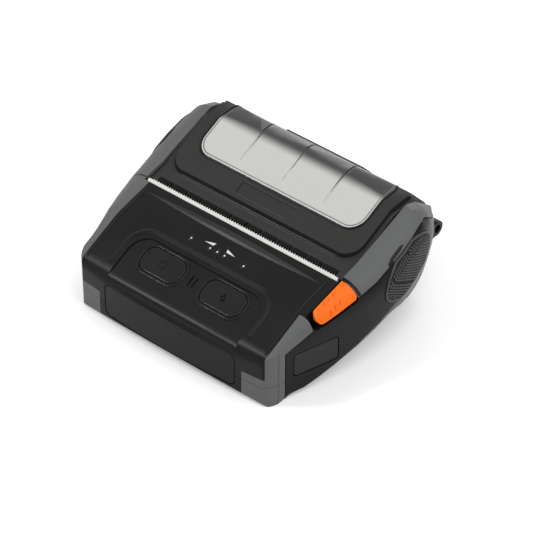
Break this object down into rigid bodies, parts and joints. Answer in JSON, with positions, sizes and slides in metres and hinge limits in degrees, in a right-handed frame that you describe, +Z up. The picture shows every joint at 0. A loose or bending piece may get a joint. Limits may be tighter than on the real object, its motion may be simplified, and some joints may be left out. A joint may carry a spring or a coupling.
{
  "type": "portable receipt printer",
  "caption": "Portable receipt printer with a rear-hinged windowed lid, side release latch, deck buttons, drop-in paper roll and slide-out battery.",
  "frame": {"origin": "on the resting surface, under the middle of the overall box", "axes": "+X to the latch side, -Y to the front with the buttons, +Z up"},
  "size_m": [0.155, 0.134, 0.0659],
  "materials": {
    "black_abs": "fine moulded texture",
    "lid_abs": "fine moulded texture",
    "bumper_grey": "fine moulded texture",
    "grip_rubber": "moulded ribs",
    "platen_rubber": "ground",
    "smoked_window": "clear, lightly smoked",
    "orange_abs": "satin",
    "white_acetal": "moulded",
    "tear_bar_white": "moulded",
    "thermal_paper": "smooth",
    "core_board": "plain",
    "green_board": "solder mask",
    "black_component": "moulded",
    "steel": "plain",
    "plated_steel": "plated",
    "pinion_brass": "turned",
    "sink_aluminium": "extruded",
    "head_ceramic": "glazed strip",
    "lamp_clear": "moulded, frosted",
    "cell_wrap": "heat-shrunk film"
  },
  "bodies": {
    "case": {"lower_case": "black_abs", "case_screws": "steel", "control_cover": "black_abs", "tear_bar": "tear_bar_white", "front_bumper_left": "bumper_grey", "front_bumper_right": "bumper_grey", "corner_feet": "bumper_grey", "rear_bumpers": "bumper_grey", "side_panel_left": "black_abs", "side_panel_right": "black_abs", "grip_pads": "grip_rubber", "button_bezels": "black_abs", "lamp_lenses": "lamp_clear", "key_board": "green_board", "key_board_screws": "steel", "key_switches": "black_component", "battery_bay": "black_abs", "contact_block": "black_abs", "main_board": "green_board", "interface_board": "green_board", "usb_socket": "plated_steel", "charge_socket": "black_component", "mechanism_frame": "steel", "frame_screws": "steel", "print_head": "head_ceramic", "head_sink": "sink_aluminium", "head_springs": "steel", "paper_guide": "black_abs", "paper_sensor": "black_component", "stepper_motor": "steel", "idler_axle": "steel", "paper_well": "black_abs", "release_spring": "steel", "clip_bracket": "steel", "clip_pin": "steel", "clip_spring": "steel", "strap_lugs": "black_abs", "hinge_pins": "steel"},
    "lid": {"lid_shell": "lid_abs", "lid_window": "smoked_window", "hinge_cover": "black_abs", "lid_frame": "black_abs", "platen_bushes": "white_acetal"},
    "platen": {"platen_shaft": "steel", "platen_rubber": "platen_rubber", "platen_gear": "white_acetal"},
    "idler": {"idler_gear": "white_acetal"},
    "pinion": {"motor_pinion": "pinion_brass", "motor_shaft": "steel"},
    "paper": {"paper_roll": "thermal_paper", "roll_core": "core_board"},
    "power": {"power_button": "black_abs"},
    "feed": {"feed_button": "black_abs"},
    "latch": {"latch_button": "orange_abs"},
    "release": {"release_shaft": "steel"},
    "battery": {"battery_front": "black_abs", "battery_case": "black_abs", "battery_cells": "cell_wrap"},
    "flap": {"interface_cover": "grip_rubber"},
    "clip": {"belt_clip": "steel"}
  },
  "joints": [
    {"name": "lid_hinge", "type": "hinge", "parent": "case", "child": "lid", "pos_m": [0, 0.0558, 0.0425], "axis": [-1, 0, 0], "range_deg": [0, 90]},
    {"name": "platen_spin", "type": "hinge", "parent": "lid", "child": "platen", "pos_m": [0, -0.0045, 0.0375], "axis": [1, 0, 0], "continuous": true},
    {"name": "idler_spin", "type": "hinge", "parent": "case", "child": "idler", "pos_m": [-0.0582, -0.00703, 0.02506], "axis": [1, 0, 0], "continuous": true},
    {"name": "pinion_spin", "type": "hinge", "parent": "case", "child": "pinion", "pos_m": [-0.0582, -0.00798, 0.0142], "axis": [1, 0, 0], "continuous": true},
    {"name": "roll_spin", "type": "hinge", "parent": "case", "child": "paper", "pos_m": [0, 0.026, 0.028], "axis": [1, 0, 0], "continuous": true},
    {"name": "power_press", "type": "slide", "parent": "case", "child": "power", "axis": [0, 0.3993, -0.9168], "range_m": [0, 0.0008], "stiffness_N_per_m": 800, "springref_m": -0.001},
    {"name": "feed_press", "type": "slide", "parent": "case", "child": "feed", "axis": [0, 0.3993, -0.9168], "range_m": [0, 0.0008], "stiffness_N_per_m": 800, "springref_m": -0.001},
    {"name": "latch_slide", "type": "slide", "parent": "case", "child": "latch", "axis": [0, -0.9781, -0.2079], "range_m": [0, 0.003], "stiffness_N_per_m": 300, "springref_m": -0.002},
    {"name": "release_turn", "type": "hinge", "parent": "case", "child": "release", "pos_m": [0, -0.0125, 0.028], "axis": [1, 0, 0], "range_deg": [0, 15.1]},
    {"name": "battery_slide", "type": "slide", "parent": "case", "child": "battery", "axis": [0, -1, 0], "range_m": [0, 0.045]},
    {"name": "flap_hinge", "type": "hinge", "parent": "case", "child": "flap", "pos_m": [0.0676, -0.036, 0.0126], "axis": [0.2928, 0.9562, 0], "range_deg": [0, 90]},
    {"name": "clip_hinge", "type": "hinge", "parent": "case", "child": "clip", "pos_m": [0, 0.0632, 0.028], "axis": [1, 0, 0], "range_deg": [0, 15], "stiffness_Nm_per_rad": 0.5, "springref_deg": -11.46}
  ],
  "couplings": [
    {"joint": "idler_spin", "follows": "platen_spin", "ratio": -0.75},
    {"joint": "pinion_spin", "follows": "platen_spin", "ratio": 1.5},
    {"joint": "release_turn", "follows": "latch_slide", "rad_per_m": 87.2}
  ]
}
